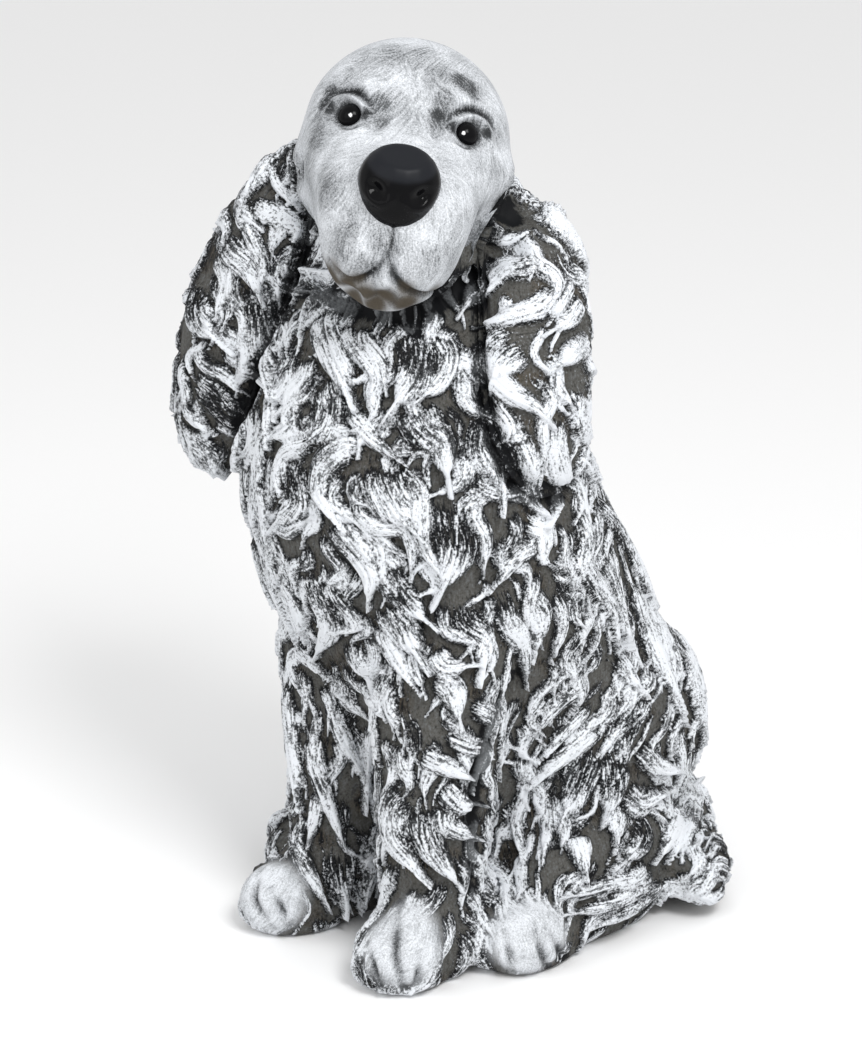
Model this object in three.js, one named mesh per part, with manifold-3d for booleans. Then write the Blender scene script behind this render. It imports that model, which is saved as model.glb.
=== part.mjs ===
// A seated spaniel figurine, slip-cast in earthenware.
//
// The figure is cast in separate moulds and luted together with slip before firing: a hollow torso with a
// pour hole in its floor and an open neck, a hollow head that fits over the neck, and ears, legs, feet and a
// tail that are trimmed to sit on the torso. The nose and eyes are glazed buttons in sockets in the head.
//
// Millimetres, +Z up. The dog faces -Y and its left side is +X. The origin ends up on the ground, under the
// middle of the figure's bounding box.
import * as THREE from "three";
import { mergeVertices } from "three/addons/utils/BufferGeometryUtils.js";
import Module from "manifold-3d";

// Driving dimensions.
const WALL = 7; // thickness of the hollow castings
const SLIP = 0.3; // the slip joint between two castings
const POUR_HOLE_RADIUS = 24; // the hole in the torso's floor
const EYE_RADIUS = 6.2;
const EYE_SPREAD = 24; // from the middle of the head to each eye
const TINY = 0.01; // stands in for a radius of nothing

// The head is turned to the dog's left, lifted, and tilted over.
const HEAD_PLACE = new THREE.Vector3(-16, -30, 359);
const HEAD_TURN = THREE.MathUtils.degToRad(42);
const HEAD_LIFT = THREE.MathUtils.degToRad(-10);
const HEAD_TILT = THREE.MathUtils.degToRad(9);

const wasm = await Module();
wasm.setup();

// ---- Solids -------------------------------------------------------------------------------------------

// A closed three.js geometry as a solid that can be joined and cut.
function solidOf(geometry) {
  const bare = geometry.clone();
  bare.deleteAttribute("normal");
  bare.deleteAttribute("uv");
  const merged = mergeVertices(bare, 1e-4);
  return new wasm.Manifold(
    new wasm.Mesh({
      numProp: 3,
      vertProperties: merged.attributes.position.array,
      triVerts: new Uint32Array(merged.index.array),
    }),
  );
}

function geometryOf(solid) {
  const mesh = solid.getMesh();
  const geometry = new THREE.BufferGeometry();
  geometry.setAttribute("position", new THREE.BufferAttribute(mesh.vertProperties, 3));
  geometry.setIndex(new THREE.BufferAttribute(mesh.triVerts, 1));
  const flat = geometry.toNonIndexed();
  flat.computeVertexNormals();
  return flat;
}

const joined = (solids) => solids.reduce((whole, piece) => whole.add(piece));
const cutBy = (solid, cutters) => cutters.reduce((left, cutter) => left.subtract(cutter), solid);

// An egg: a sphere stretched to three half sizes, turned about Z and moved into place.
function egg([x, y, z], [halfX, halfY, halfZ], turn = 0, grow = 0, around = 18) {
  const geometry = new THREE.SphereGeometry(1, around, Math.round(around * 0.6));
  geometry.rotateX(Math.PI / 2);
  geometry.scale(halfX + grow, halfY + grow, halfZ + grow);
  geometry.rotateZ(THREE.MathUtils.degToRad(turn));
  geometry.translate(x, y, z);
  return solidOf(geometry);
}

// A loft: a closed cylinder bent along a smooth spine. Each station is [x, y, z, halfAcross, halfDeep]: a
// point of the spine and the section's two half sizes there. sectionAxes gives the section's two directions
// from the spine's direction. A grow above 0 swells the loft all round, and below 0 it shrinks it.
function loft(stations, sectionAxes, { grow = 0, around = 20, rings = 12 } = {}) {
  const spine = new THREE.CatmullRomCurve3(stations.map(([x, y, z]) => new THREE.Vector3(x, y, z)));
  const halves = new THREE.CatmullRomCurve3(stations.map(([, , , a, b]) => new THREE.Vector3(a, b, 0)));
  const geometry = new THREE.CylinderGeometry(1, 1, 1, around, rings);
  const position = geometry.attributes.position;
  for (let i = 0; i < position.count; i++) {
    const t = THREE.MathUtils.clamp(position.getY(i) + 0.5, 0, 1);
    const along = spine.getTangent(t);
    const [across, deep] = sectionAxes(along);
    const half = halves.getPoint(t);
    const point = spine.getPoint(t);
    point.addScaledVector(across, position.getX(i) * Math.max(half.x + grow, TINY));
    point.addScaledVector(deep, position.getZ(i) * Math.max(half.y + grow, TINY));
    if (t === 0) point.addScaledVector(along, -grow);
    if (t === 1) point.addScaledVector(along, grow);
    position.setXYZ(i, point.x, point.y, point.z);
  }
  const solid = solidOf(geometry);
  return solid.volume() > 0 ? solid : solidOf(turnedInsideOut(geometry));
}

// The same surface with its faces the other way round.
function turnedInsideOut(geometry) {
  const index = geometry.index;
  for (let i = 0; i < index.count; i += 3) {
    const second = index.getX(i + 1);
    index.setX(i + 1, index.getX(i + 2));
    index.setX(i + 2, second);
  }
  return geometry;
}

// Sections that stay level, with their first axis turned by an angle in degrees about Z.
function levelSections(turn = 0) {
  const angle = THREE.MathUtils.degToRad(turn);
  const across = new THREE.Vector3(Math.cos(angle), Math.sin(angle), 0);
  const deep = new THREE.Vector3(-Math.sin(angle), Math.cos(angle), 0);
  return () => [across, deep];
}

// Sections that stand upright across a spine that runs front to back.
const uprightSections = () => [new THREE.Vector3(1, 0, 0), new THREE.Vector3(0, 0, 1)];

// Sections that turn with a spine that curves along the ground.
function turningSections(along) {
  return [new THREE.Vector3(-along.y, along.x, 0).normalize(), new THREE.Vector3(0, 0, 1)];
}

// The hole through the torso's floor that the slip was poured through.
function pourHole() {
  const depth = WALL * 3;
  const geometry = new THREE.CylinderGeometry(POUR_HOLE_RADIUS, POUR_HOLE_RADIUS, depth, 20);
  geometry.rotateX(Math.PI / 2);
  geometry.translate(TORSO[0][0], TORSO[0][1], 0);
  return solidOf(geometry);
}

// The open top of the neck, which joins the torso's hollow to the head's.
function neckHole() {
  const [x, y, z, halfX, halfY] = TORSO[TORSO.length - 1];
  return egg([x, y, z], [halfX, halfY, WALL * 3], 0, -WALL);
}

// Everything below the ground, for giving a foot its flat sole.
function belowGround() {
  const reach = 600;
  const geometry = new THREE.BoxGeometry(reach, reach, reach);
  geometry.translate(0, 0, -reach / 2);
  return solidOf(geometry);
}

// ---- Forms: each casting's outer shape, before it is trimmed to its neighbours -------------------------

// The torso stands on its rim, leans forward into the chest and narrows to the neck.
const TORSO = [
  [0, 25, 0, 60, 76],
  [0, 27, 40, 69, 84],
  [0, 21, 80, 75, 88],
  [-3, 8, 120, 79, 92],
  [-5, -10, 160, 83, 90],
  [-8, -27, 200, 83, 82],
  [-9, -38, 240, 76, 68],
  [-9, -37, 275, 63, 56],
  [-12, -32, 305, 52, 47],
  [-14, -28, 332, 42, 40],
];
const torsoForm = (grow) => loft(TORSO, levelSections(), { grow, around: 28, rings: 18 });

// The head, in its own frame: the back of the skull, the brow, the cheeks and the blunt muzzle.
const HEAD = [
  [0, 46, 2, 4, 4],
  [0, 41, 2, 24, 24],
  [0, 26, 1, 40, 40],
  [0, 4, 0, 46, 46],
  [0, -18, -4, 46, 47],
  [0, -36, -18, 42, 44],
  [0, -52, -30, 40, 38],
  [0, -66, -33, 38, 34],
  [0, -76, -33, 31, 27],
  [0, -82, -32, 12, 11],
];
const headForm = (grow) => loft(HEAD, uprightSections, { grow, around: 24, rings: 16 });

function headPose() {
  const turn = new THREE.Matrix4().makeRotationZ(HEAD_TURN);
  turn.multiply(new THREE.Matrix4().makeRotationX(HEAD_LIFT));
  turn.multiply(new THREE.Matrix4().makeRotationY(HEAD_TILT));
  return turn.setPosition(HEAD_PLACE);
}
const HEAD_POSE = headPose();

// A solid made in the head's frame, moved to where the head is.
const onHead = (solid) => solid.transform(HEAD_POSE.elements);

const NOSE_PLACE = [0, -78, -12];
const noseForm = (grow) =>
  joined([
    egg(NOSE_PLACE, [17.5, 13, 16], 0, grow),
    egg([0, NOSE_PLACE[1] + 9, NOSE_PLACE[2]], [9, 12, 9], 0, grow, 12),
  ]);

const eyeForm = (side, grow) => egg([side * EYE_SPREAD, -37, 9], [EYE_RADIUS, 6, EYE_RADIUS], 0, grow, 12);

// The ears hang from the sides of the head and lie over the shoulders.
const LEFT_EAR = [
  [28, -6, 350, 6, 6],
  [38, -12, 336, 18, 14],
  [52, -22, 305, 25, 17],
  [61, -30, 270, 28, 18],
  [61, -34, 236, 26, 17],
  [58, -36, 213, 17, 12],
  [57, -36, 206, 6, 5],
];
const RIGHT_EAR = [
  [-52, -50, 363, 6, 6],
  [-60, -58, 347, 18, 13],
  [-70, -69, 313, 27, 17],
  [-80, -77, 273, 30, 18],
  [-84, -80, 240, 27, 17],
  [-86, -82, 214, 19, 12],
  [-87, -83, 206, 6, 5],
];
const leftEarForm = (grow) => loft(LEFT_EAR, levelSections(75), { grow });
const rightEarForm = (grow) => loft(RIGHT_EAR, levelSections(-5), { grow });

// A foreleg is a straight column with a long paw.
function forelegForm({ column, paw, turn }, grow) {
  return joined([
    loft(column, levelSections(), { grow, around: 18, rings: 8 }),
    egg([paw[0], paw[1], 14], [23, 32, 23], turn, grow),
  ]);
}
const LEFT_FORELEG = {
  column: [
    [41, -76, 6, 22, 22],
    [41, -76, 45, 25, 26],
    [40, -72, 95, 28, 28],
    [37, -64, 145, 33, 32],
    [33, -56, 178, 28, 28],
    [32, -52, 194, 10, 10],
  ],
  paw: [44, -92],
  turn: 0,
};
const RIGHT_FORELEG = {
  column: [
    [-25, -68, 6, 22, 22],
    [-25, -68, 45, 23, 24],
    [-27, -64, 95, 25, 26],
    [-31, -58, 145, 30, 30],
    [-33, -52, 178, 27, 27],
    [-33, -48, 194, 10, 10],
  ],
  paw: [-30, -87],
  turn: -22,
};

// A haunch is the folded thigh with the shank under it. side is 1 for the left and -1 for the right.
const haunchForm = (side, grow) =>
  joined([
    egg([side * 52, 32, 82], [37, 57, 60], -side * 6, grow),
    egg([side * 68, 6, 27], [29, 54, 40], 0, grow),
  ]);

const hindFootForm = (side, grow) => egg([side * 68 + 4, -41, 13], [22, 34, 22], 0, grow);

// The tail leaves the rump and curls forward beside the left haunch.
const TAIL = [
  [-8, 100, 26, 16, 14],
  [22, 102, 24, 19, 19],
  [48, 90, 21, 19, 19],
  [68, 72, 19, 18, 18],
  [90, 54, 18, 18, 18],
  [104, 40, 17, 14, 15],
  [111, 33, 16, 6, 7],
];
const tailForm = (grow) => loft(TAIL, turningSections, { grow, around: 16, rings: 12 });

// ---- Castings: the forms, hollowed and trimmed to each other with a slip joint between them ------------

const GROUND = belowGround();
const torsoOuter = torsoForm(0);
const torsoSeat = torsoForm(SLIP);
const torsoHollow = joined([torsoForm(-WALL), neckHole()]);
const headSeat = onHead(headForm(SLIP));
const sideNames = [
  [1, "left"],
  [-1, "right"],
];

const castings = { torso: cutBy(torsoOuter, [torsoHollow, pourHole()]) };

const sockets = [noseForm(SLIP), ...sideNames.map(([side]) => eyeForm(side, SLIP))];
castings.head = cutBy(onHead(cutBy(headForm(0), [headForm(-WALL), ...sockets])), [torsoSeat]);
castings.nose = onHead(noseForm(0));
for (const [side, name] of sideNames) castings[name + "_eye"] = onHead(eyeForm(side, 0));

castings.left_ear = cutBy(leftEarForm(0), [headSeat, torsoSeat]);
castings.right_ear = cutBy(rightEarForm(0), [headSeat, torsoSeat]);

castings.left_foreleg = cutBy(forelegForm(LEFT_FORELEG, 0), [torsoSeat, GROUND]);
castings.right_foreleg = cutBy(forelegForm(RIGHT_FORELEG, 0), [torsoSeat, GROUND]);
const forelegSeats = [forelegForm(LEFT_FORELEG, SLIP), forelegForm(RIGHT_FORELEG, SLIP)];

for (const [side, name] of sideNames) {
  const haunch = cutBy(haunchForm(side, 0), [torsoSeat, ...forelegSeats, GROUND]);
  const foot = cutBy(hindFootForm(side, 0), [torsoSeat, haunchForm(side, SLIP), ...forelegSeats, GROUND]);
  castings[name + "_haunch"] = haunch;
  castings[name + "_hind_foot"] = foot;
}
castings.tail = cutBy(tailForm(0), [torsoSeat, haunchForm(1, SLIP), haunchForm(-1, SLIP), GROUND]);

// ---- The figure ---------------------------------------------------------------------------------------

const WASHED = { color: 0xc9cac8, roughness: 0.8, metalness: 0 };
const BLACK_GLAZE = { color: 0x0b0b0c, roughness: 0.12, metalness: 0 };
const GLAZED = new Set(["nose", "left_eye", "right_eye"]);

const figure = new THREE.Group();
for (const [name, solid] of Object.entries(castings)) {
  const mesh = new THREE.Mesh(
    geometryOf(largestBody(solid)),
    new THREE.MeshStandardMaterial(GLAZED.has(name) ? BLACK_GLAZE : WASHED),
  );
  mesh.name = name;
  figure.add(mesh);
}

// Trimming can leave a crumb on the far side of a joint; the casting is the largest body.
function largestBody(solid) {
  return solid.decompose().reduce((best, body) => (body.volume() > best.volume() ? body : best));
}

// The origin is on the ground, under the middle of the bounding box.
const box = new THREE.Box3().setFromObject(figure, true);
const middle = box.getCenter(new THREE.Vector3());
figure.position.set(-middle.x, -middle.y, -box.min.z);

export default figure;
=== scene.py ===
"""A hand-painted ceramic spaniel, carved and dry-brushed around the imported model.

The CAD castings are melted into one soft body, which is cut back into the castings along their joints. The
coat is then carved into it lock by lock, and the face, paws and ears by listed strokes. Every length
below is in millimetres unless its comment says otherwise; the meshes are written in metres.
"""

import math

import bpy
import numpy as np
import openvdb as vdb
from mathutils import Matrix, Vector


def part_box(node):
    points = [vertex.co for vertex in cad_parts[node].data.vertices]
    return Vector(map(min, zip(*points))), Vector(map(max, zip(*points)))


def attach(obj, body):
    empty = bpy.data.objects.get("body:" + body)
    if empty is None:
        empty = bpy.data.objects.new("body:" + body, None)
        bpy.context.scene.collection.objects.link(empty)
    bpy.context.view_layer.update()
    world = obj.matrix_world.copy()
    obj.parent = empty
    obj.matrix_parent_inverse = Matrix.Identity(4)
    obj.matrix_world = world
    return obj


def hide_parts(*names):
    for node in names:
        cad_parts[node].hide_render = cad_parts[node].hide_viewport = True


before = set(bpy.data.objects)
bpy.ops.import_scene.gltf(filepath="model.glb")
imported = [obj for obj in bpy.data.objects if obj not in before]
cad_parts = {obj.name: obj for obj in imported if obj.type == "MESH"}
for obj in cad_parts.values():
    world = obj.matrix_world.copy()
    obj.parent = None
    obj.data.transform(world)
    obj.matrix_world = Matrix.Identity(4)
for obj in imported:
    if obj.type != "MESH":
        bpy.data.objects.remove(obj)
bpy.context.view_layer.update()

MM = 0.001
SEED = 11

# ---- Helpers, and the face's frame --------------------------------------------------------------------


def ramp(low, high, values):
    """0 at low, 1 at high, and a smooth step between them."""
    t = np.clip((values - low) / (high - low), 0, 1)
    return t * t * (3 - 2 * t)


def unit(vector):
    return np.asarray(vector, float) / np.linalg.norm(vector)


def middle(name):
    low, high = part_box(name)
    return np.array((low + high) / 2) / MM


# The face's frame has its origin midway between the eyes, and looks along FACE_OUT.
NOSE_DROP = math.radians(27)  # the nose lies this far below straight ahead of the eyes
eyes_middle = (middle("left_eye") + middle("right_eye")) / 2
FACE_LEFT = unit(middle("left_eye") - middle("right_eye"))
to_nose = middle("nose") - eyes_middle
to_nose = unit(to_nose - (to_nose @ FACE_LEFT) * FACE_LEFT)
to_crown = np.cross(FACE_LEFT, to_nose)
to_crown *= np.sign(to_crown[2])
FACE_OUT = math.cos(NOSE_DROP) * to_nose + math.sin(NOSE_DROP) * to_crown
FACE_UP = math.cos(NOSE_DROP) * to_crown - math.sin(NOSE_DROP) * to_nose
FACE = np.stack([FACE_LEFT, FACE_OUT, FACE_UP])

# ---- The soft body ------------------------------------------------------------------------------------

COARSE = 2.5  # voxel of the soft body
BAND = 12  # voxels of true distance kept on each side of a surface
LOW = np.array([-54, -58, -8])  # first voxel of the grid
SHAPE = (108, 116, 180)  # voxels of the grid
MELT = 4.0  # how far the joints between castings are blended
ROOT_MELT = 11.0  # the same where the ears spring from the head
EAR_ROOT = (46, -22, -20)  # the left ear's root in the face's frame; the right one mirrors it
EAR_ROOT_REACH = (32, 10)  # that melting fades in between these distances from the root
SEAM_LAP = 0.7  # how far neighbouring castings overlap at their painted joint
FUSED = 0.2  # grows the castings over the gaps between them

GLAZED = ("nose", "left_eye", "right_eye")
CASTINGS = [name for name in sorted(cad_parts) if name not in GLAZED]


def distance_grid(points, voxel, **faces):
    """Signed distance to a closed mesh, as an OpenVDB grid."""
    return vdb.FloatGrid.createLevelSetFromPolygons(
        np.ascontiguousarray(points, np.float32),
        transform=vdb.createLinearTransform(voxel),
        halfWidth=BAND,
        **faces,
    )


def to_array(grid, low=LOW, shape=SHAPE):
    values = np.empty(shape, np.float32)
    grid.copyToArray(values, ijk=tuple(int(i) for i in low))
    return values


def to_quads(values, voxel, low, level=0.0):
    """The surface of a field where it equals level, as points in millimetres and four-cornered faces."""
    grid = vdb.FloatGrid(float(values.max()))
    grid.copyFromArray(np.ascontiguousarray(values, np.float32), ijk=tuple(int(i) for i in low))
    grid.transform = vdb.createLinearTransform(voxel)
    return grid.convertToQuads(level)


def node_faces(name):
    """A CAD body's points in millimetres, and its triangles."""
    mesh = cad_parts[name].data
    mesh.calc_loop_triangles()
    points = np.empty(len(mesh.vertices) * 3, np.float32)
    mesh.vertices.foreach_get("co", points)
    triangles = np.empty(len(mesh.loop_triangles) * 3, np.int32)
    mesh.loop_triangles.foreach_get("vertices", triangles)
    return points.reshape(-1, 3) / MM, triangles.reshape(-1, 3).astype(np.uint32)


def node_field(name):
    points, triangles = node_faces(name)
    return to_array(distance_grid(points, COARSE, triangles=triangles))


def walled_in(field):
    """The air that has a wall to its left, right, front and back at its own height."""
    wall = field <= 0
    inside = ~wall
    for axis in (0, 1):
        inside &= np.logical_or.accumulate(wall, axis)
        inside &= np.flip(np.logical_or.accumulate(np.flip(wall, axis), axis), axis)
    return inside


def blurred(field, width):
    """The field smoothed by a bell curve of that width in voxels."""
    reach = int(math.ceil(3 * width))
    weights = np.exp(-0.5 * (np.arange(-reach, reach + 1) / width) ** 2)
    weights /= weights.sum()
    for axis in range(3):
        spread = [(reach, reach) if a == axis else (0, 0) for a in range(3)]
        padded = np.pad(field, spread, mode="edge")
        total = np.zeros_like(field)
        for i, weight in enumerate(weights):
            window = [slice(None)] * 3
            window[axis] = slice(i, i + field.shape[axis])
            total += weight * padded[tuple(window)]
        field = total
    return field


def spline_weights(places, count):
    """Rows of cubic B-spline weights that read a line of count samples at the given places."""
    rows = np.zeros((len(places), count), np.float32)
    first = np.floor(places).astype(int)
    t = places - first
    parts = ((1 - t) ** 3, 3 * t**3 - 6 * t**2 + 4, -3 * t**3 + 3 * t**2 + 3 * t + 1, t**3)
    for shift, part in zip((-1, 0, 1, 2), parts):
        column = np.clip(first + shift, 0, count - 1)
        np.add.at(rows, (np.arange(len(places)), column), part / 6)
    return rows


def refined(field, voxel, low, shape):
    """The coarse field read smoothly on a finer grid of that voxel, first voxel and shape."""
    for axis in range(3):
        places = (np.arange(shape[axis]) + low[axis]) * voxel / COARSE - LOW[axis]
        weights = spline_weights(places, field.shape[axis])
        field = np.moveaxis(np.tensordot(weights, field, (1, axis)), 0, axis)
    return field


def read(field, points):
    """A coarse field, or several stacked on a last axis, read at points by straight interpolation."""
    place = points / COARSE - LOW
    first = np.clip(np.floor(place).astype(int), 0, np.array(SHAPE) - 2)
    t = place - first
    total = 0
    for corner in np.ndindex(2, 2, 2):
        weight = np.prod(np.where(corner, t, 1 - t), axis=1)
        value = field[tuple((first + corner).T)]
        total = total + (weight[:, None] * value if value.ndim == 2 else weight * value)
    return total


fields = {name: node_field(name) for name in sorted(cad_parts)}
fields["torso"][walled_in(fields["torso"])] = -COARSE
everything = np.min([fields[name] for name in fields], axis=0) - FUSED
pockets = walled_in(everything)
head_floor = int(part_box("head")[0].z / MM / COARSE) - LOW[2]
for name, part in (("torso", np.s_[..., :head_floor]), ("head", np.s_[..., head_floor:])):
    fields[name][part][pockets[part]] = -COARSE
everything[pockets] = -COARSE
body_points, body_quads = to_quads(everything, COARSE, LOW)
distances = to_array(distance_grid(body_points, COARSE, quads=body_quads))
body = blurred(distances, MELT / COARSE)
melted = blurred(distances, ROOT_MELT / COARSE)
centres = (np.indices(SHAPE).reshape(3, -1).T + LOW) * COARSE
for side in (-1, 1):
    ear_root = eyes_middle + (np.array(EAR_ROOT) * [side, 1, 1]) @ FACE
    gap = np.linalg.norm(centres - ear_root, axis=1).reshape(SHAPE)
    body += ramp(*EAR_ROOT_REACH, gap) * (melted - body)
slope = np.stack(np.gradient(body, COARSE), axis=-1).astype(np.float32)

stack = np.stack([fields[name] for name in CASTINGS])
owner = np.argmin(stack, axis=0)


def cell(index):
    """Below 0 where a casting is nearer than every other one."""
    others = np.min(np.delete(stack, index, axis=0), axis=0)
    return (stack[index] - others) / 2 - SEAM_LAP


def normals_at(points):
    normal = read(slope, points)
    return normal / np.linalg.norm(normal, axis=1, keepdims=True)


def onto_skin(points, rounds=4):
    """The points moved onto the soft body's surface."""
    points = np.array(points, float)
    for _ in range(rounds):
        gradient = read(slope, points)
        steep = np.maximum((gradient**2).sum(1), 0.05)
        points -= (read(body, points) / steep)[:, None] * gradient
    return points


# ---- The castings' skins ------------------------------------------------------------------------------

VOXEL = {"head": 0.8}
USUAL_VOXEL = 1.0
SKIN_MARGIN = 8  # the grid reaches this far past a casting's box
FIELD_TOP = 3.0  # distances above this are levelled off
GROUND = 0.01  # no skin goes below this height
WALL_DEPTHS = (1.6, 0.8)  # the carving fades in between these depths inside the soft body
SOLE_HEIGHTS = (0.5, 5.0)  # the carving fades in between these heights


def cut_casting(index):
    """One casting's share of the soft body, which laps over its neighbours', as points and faces."""
    name = CASTINGS[index]
    voxel = VOXEL.get(name, USUAL_VOXEL)
    low, high = (np.array(corner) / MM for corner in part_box(name))
    first = np.floor((low - SKIN_MARGIN) / voxel).astype(int)
    shape = tuple(np.ceil((high + SKIN_MARGIN) / voxel).astype(int) - first)
    field = refined(body, voxel, first, shape)
    field = np.maximum(field, refined(cell(index), voxel, first, shape))
    height = (np.arange(shape[2]) + first[2]) * voxel
    field = np.maximum(field, GROUND - height)
    points, quads = to_quads(np.minimum(field, FIELD_TOP), voxel, first)
    return points.astype(float), quads


skins = [cut_casting(i) for i in range(len(CASTINGS))]
counts = [len(points) for points, _ in skins]
starts = np.concatenate([[0], np.cumsum(counts)])
where = np.concatenate([points for points, _ in skins])
casting_of = np.repeat(np.arange(len(CASTINGS)), counts)
out = normals_at(where)
by_height = np.argsort(where[:, 2])
sorted_heights = where[by_height, 2]

# The share of the carving that shows: none on the walls inside the joints or under the figure.
exposed = ramp(*WALL_DEPTHS, -read(body, where)) * ramp(*SOLE_HEIGHTS, where[:, 2])


def near_to(spot, reach):
    """The skin points inside a cube about a spot."""
    first, last = np.searchsorted(sorted_heights, [spot[2] - reach, spot[2] + reach])
    slab = by_height[first:last]
    return slab[(np.abs(where[slab, :2] - spot[:2]) < reach).all(1)]


# ---- Places on the figure -----------------------------------------------------------------------------

VIEW_TARGET = np.array([-16.4, -14.0, 179.0])
VIEW_AZIMUTH = math.radians(42)
VIEW_ELEVATION = math.radians(20)
VIEW_DISTANCE = 1400
CAST_STEPS = 80
FACE_CLEARANCE = 75.0  # lines cast at the face start this far ahead of it
VIEW_CLEARANCE = 260  # lines cast from the main view start this far before the target's plane


def away(azimuth, elevation):
    """The way from the figure towards an eye at that azimuth and elevation."""
    level = math.cos(elevation)
    return np.array([math.sin(azimuth) * level, -math.cos(azimuth) * level, math.sin(elevation)])


def cast(places, ways):
    """Where lines from the places along the ways first meet the soft body."""
    places = np.array(places, float)
    for _ in range(CAST_STEPS):
        places += np.maximum(read(body, places), 0)[:, None] * ways
    return places


def on_face(spots):
    """Skin points seen from straight ahead of the face, given as millimetres left and up of mid-eye."""
    spots = np.array(spots, float)
    ahead = np.column_stack([spots[:, 0], np.full(len(spots), FACE_CLEARANCE), spots[:, 1]])
    return cast(eyes_middle + ahead @ FACE, -FACE_OUT)


def in_view(spots):
    """Skin points seen in the main view, given as millimetres right of and above the view's target."""
    spots = np.array(spots, float)
    towards = away(VIEW_AZIMUTH, VIEW_ELEVATION)
    right = np.array([math.cos(VIEW_AZIMUTH), math.sin(VIEW_AZIMUTH), 0])
    plane = VIEW_TARGET + spots[:, :1] * right + spots[:, 1:] * np.cross(towards, right)
    eye = VIEW_TARGET + towards * VIEW_DISTANCE
    ways = plane - eye
    ways /= np.linalg.norm(ways, axis=1, keepdims=True)
    return cast(plane - VIEW_CLEARANCE * ways, ways)


def smooth_line(knots, count):
    """Points evenly spaced in time along a smooth curve through the knots."""
    knots = np.array(knots, float)
    ends = np.vstack([2 * knots[0] - knots[1], knots, 2 * knots[-1] - knots[-2]])
    times = np.linspace(0, len(knots) - 1, count)
    leg = np.minimum(times.astype(int), len(knots) - 2)
    t = (times - leg)[:, None]
    a, b, c, d = (ends[leg + i] for i in range(4))
    return b + 0.5 * t * (c - a + t * (2 * a - 5 * b + 4 * c - d + t * (3 * (b - c) + d - a)))


# ---- The coat -----------------------------------------------------------------------------------------

LOCK_STEPS = 12
INSET = 2.7  # how far the valleys between the locks lie below the soft body
COAT_BOTTOM = 8  # no lock starts below this height
TRIES = 16000  # random points from which the locks' starts are chosen
WANDER = 0.5  # how far locks wander from the way the coat lies, in radians
WANDER_LENGTH = 70  # the length over which that changes
SWIRL_LENGTH = 90  # the length over which neighbouring locks stop waving alike
STRAND_GAP = 2.7  # between the fine ridges along a lock
FINE_RIDGE = 0.10  # their height as a share of the lock's own
SKIN_RADIUS = 60  # bare skin takes its grain from a cylinder of this radius

random = np.random.default_rng(SEED)
drift_ways = random.normal(size=(6, 3))
drift_ways /= np.linalg.norm(drift_ways, axis=1, keepdims=True)
drift_starts = random.uniform(0, 2 * math.pi, 6)


def drift(points, length):
    """A smooth wandering value between about -1 and 1, which changes over that length."""
    return np.sin(points @ drift_ways.T * (2 * math.pi / length) + drift_starts).sum(1) / 2.4


# Each casting's locks: spacing, length, half width, height, and the angle of their waves in degrees.
COAT = {
    "torso": (10.0, 36, 6.4, 4.6, 44),
    "head": (9.0, 20, 4.6, 2.4, 20),
    "left_ear": (10.5, 34, 6.6, 5.0, 42),
    "right_ear": (10.5, 34, 6.6, 5.0, 42),
    "left_foreleg": (9.5, 30, 5.4, 3.8, 32),
    "right_foreleg": (9.5, 32, 5.0, 3.8, 24),
    "left_haunch": (9.5, 32, 5.6, 4.0, 28),
    "right_haunch": (9.5, 32, 5.6, 4.0, 28),
    "left_hind_foot": (9.0, 16, 4.0, 1.2, 8),
    "right_hind_foot": (9.0, 16, 4.0, 1.2, 8),
    "tail": (9.0, 24, 4.8, 3.4, 30),
}
# Thin strands lie between the locks; these are their measures as shares of the locks' own.
STRAND = (1.1, 1.1, 0.42, 0.85, 1.0)

# The ways the coat lies: down, forwards on the haunches, round the tail, and back off the face on the head.
DOWN = (0.0, 0.0, -1.0)
DOWN_HAUNCH = (0.0, -0.45, -1.0)
TAIL_CENTRE = 25  # the tail curls about the upright line this far behind the middle
TAIL_FALL = 15  # how steeply the tail's locks fall on their way round
SWEPT_BACK = 0.6  # how far back the head's locks lie for each 1 down


def casting_at(points):
    """The number of the casting nearest to each point."""
    place = np.clip(np.round(points / COARSE - LOW).astype(int), 0, np.array(SHAPE) - 1)
    return owner[tuple(place.T)]


def way_down(points):
    """The way the coat lies at each point, before it waves."""
    names = np.array(CASTINGS)[casting_at(points)]
    way = np.tile(DOWN, (len(points), 1))
    way[np.char.endswith(names, "haunch")] = DOWN_HAUNCH
    tail = names == "tail"
    way[tail, 0] = points[tail, 1] - TAIL_CENTRE
    way[tail, 1] = -points[tail, 0]
    way[tail, 2] = -TAIL_FALL
    way[names == "head"] = -SWEPT_BACK * FACE_OUT - FACE_UP
    return way


def flat_to(normal, way):
    """The way laid flat on the skin, as unit vectors."""
    way = way - (way * normal).sum(1, keepdims=True) * normal
    return way / np.maximum(np.linalg.norm(way, axis=1, keepdims=True), 1e-6)


def scatter(traits):
    """Points strewn over the coat, each at least its casting's spacing from the others."""
    ready = np.flatnonzero((exposed > 0.5) & (where[:, 2] > COAT_BOTTOM))
    tries = where[random.permutation(ready)[:TRIES]]
    gaps = traits[casting_at(tries), 0]
    kept = np.zeros((len(tries), 3))
    count = 0
    for place, gap in zip(tries, gaps):
        if not count or ((kept[:count] - place) ** 2).sum(1).min() > gap * gap:
            kept[count] = place
            count += 1
    return kept[:count]


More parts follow.
